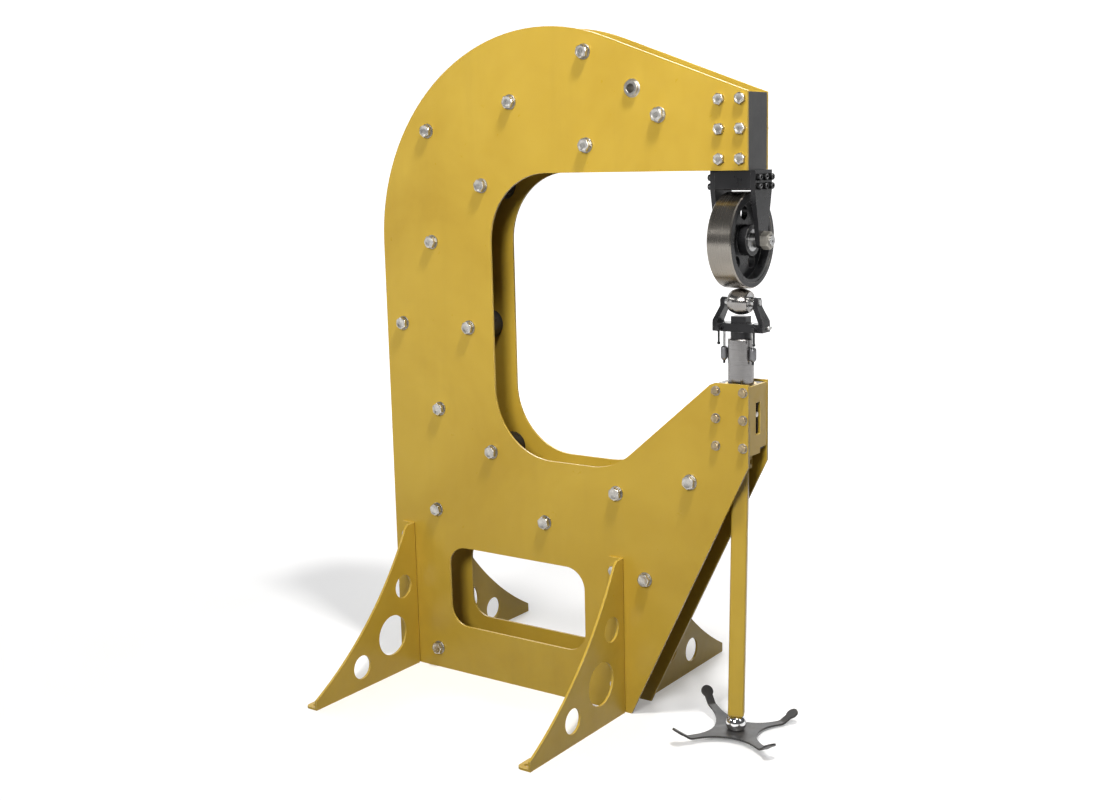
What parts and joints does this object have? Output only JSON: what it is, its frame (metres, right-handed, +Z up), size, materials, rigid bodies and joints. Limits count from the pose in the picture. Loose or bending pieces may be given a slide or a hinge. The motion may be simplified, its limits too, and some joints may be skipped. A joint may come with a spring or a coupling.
{
  "type": "english wheel",
  "caption": "English wheel: bolted C-shaped plate frame on braced feet, flat upper wheel over a crowned anvil on a screw-driven post turned by a kick wheel near the floor.",
  "frame": {"origin": "on the floor, in the middle of the four floor bolt holes of the feet, in the plane midway between the side plates", "axes": "+X from the spine of the frame towards the wheels, +Y across the frame, away from the picture's camera, +Z up from the floor"},
  "size_m": [1.2362, 0.96, 1.7618],
  "materials": {
    "painted_yellow": "yellow-ochre enamel, slightly satin, lighter at worn edges",
    "black_paint": "black enamel, satin",
    "zinc_steel": "bright zinc-plated fasteners",
    "brushed_steel": "turned steel with fine lathe lines",
    "polished_steel": "ground and polished steel, fine marks round the axis",
    "dark_steel": "dark grey machined iron and steel, oiled",
    "bronze": "bearing bronze",
    "chrome_hub": "chromed turned hub"
  },
  "bodies": {
    "frame": {"side_plate_near": "painted_yellow", "side_plate_far": "painted_yellow", "frame_spacers": "dark_steel", "frame_bolts": "zinc_steel", "frame_washers": "zinc_steel", "frame_nuts": "zinc_steel", "lifting_bush": "zinc_steel", "head_block": "dark_steel", "head_bolts": "zinc_steel", "head_nuts": "zinc_steel", "yoke_block": "black_paint", "yoke_arm_rear": "black_paint", "yoke_arm_front": "black_paint", "yoke_arm_screws": "black_paint", "yoke_block_screws": "brushed_steel", "upper_axle": "brushed_steel", "upper_axle_nuts": "dark_steel", "upper_axle_spacers": "brushed_steel", "upper_bearing_inners": "brushed_steel", "lower_front_plate": "painted_yellow", "post_guide": "dark_steel", "post_bush": "bronze", "thrust_plate": "dark_steel", "thrust_washer": "bronze", "guide_screws": "zinc_steel", "foot_near_rear": "painted_yellow", "foot_near_front": "painted_yellow", "foot_far_rear": "painted_yellow", "foot_far_front": "painted_yellow", "foot_bolts": "zinc_steel", "foot_nuts": "zinc_steel"},
    "upper_wheel": {"upper_wheel_tread": "polished_steel", "upper_wheel_centre": "black_paint", "upper_bearing_outers": "dark_steel"},
    "ram": {"post": "polished_steel", "post_nut": "bronze", "guide_pin": "zinc_steel", "cradle_base": "black_paint", "cradle_arm_rear": "black_paint", "cradle_arm_front": "black_paint", "cradle_screws": "brushed_steel", "anvil_axle": "brushed_steel", "anvil_bearing_inners": "brushed_steel", "lever_screws": "brushed_steel"},
    "anvil_wheel": {"anvil": "polished_steel", "anvil_bearing_outers": "dark_steel"},
    "screw": {"drive_screw": "brushed_steel", "swivel_socket": "painted_yellow", "swivel_ring": "painted_yellow"},
    "kick": {"swivel_ball": "brushed_steel", "swivel_pin": "brushed_steel", "kick_shaft": "painted_yellow", "kick_shaft_plug": "painted_yellow", "kick_hub": "chrome_hub", "kick_wheel": "dark_steel", "kick_bolt": "brushed_steel"},
    "knob_rear": {"levelling_knob_rear": "brushed_steel"},
    "knob_front": {"levelling_knob_front": "brushed_steel"},
    "lever_rear": {"clamp_lever_rear": "black_paint"},
    "lever_front": {"clamp_lever_front": "black_paint"}
  },
  "joints": [
    {"name": "upper_wheel_spin", "type": "hinge", "parent": "frame", "child": "upper_wheel", "pos_m": [0.68525, 0, 1.236], "axis": [1, 0, 0], "continuous": true},
    {"name": "post_slide", "type": "slide", "parent": "frame", "child": "ram", "axis": [0, 0, 1], "range_m": [-0.035, 0]},
    {"name": "anvil_spin", "type": "hinge", "parent": "ram", "child": "anvil_wheel", "pos_m": [0.68525, 0, 1.08955], "axis": [1, 0, 0], "continuous": true},
    {"name": "screw_turn", "type": "hinge", "parent": "frame", "child": "screw", "pos_m": [0.68525, 0, 0.757], "axis": [0, 0, 1], "range_deg": [0, 2480]},
    {"name": "kick_turn", "type": "hinge", "parent": "frame", "child": "kick", "pos_m": [0.68525, 0, 0.7], "axis": [0, 0.0377, 0.9993], "range_deg": [0, 2480]},
    {"name": "knob_rear_turn", "type": "hinge", "parent": "ram", "child": "knob_rear", "pos_m": [0.64675, -0.013, 1.01805], "axis": [0, 0, 1], "continuous": true},
    {"name": "knob_front_turn", "type": "hinge", "parent": "ram", "child": "knob_front", "pos_m": [0.72375, -0.013, 1.01805], "axis": [0, 0, 1], "continuous": true},
    {"name": "lever_rear_swing", "type": "hinge", "parent": "ram", "child": "lever_rear", "pos_m": [0.63825, -0.0248, 1.02605], "axis": [0, 1, 0], "range_deg": [-30, 80]},
    {"name": "lever_front_swing", "type": "hinge", "parent": "ram", "child": "lever_front", "pos_m": [0.73225, -0.0248, 1.02605], "axis": [0, 1, 0], "range_deg": [-80, 30]}
  ],
  "couplings": [
    {"joint": "screw_turn", "follows": "kick_turn", "ratio": 1},
    {"joint": "post_slide", "follows": "kick_turn", "m_per_rad": -0.00080851}
  ]
}
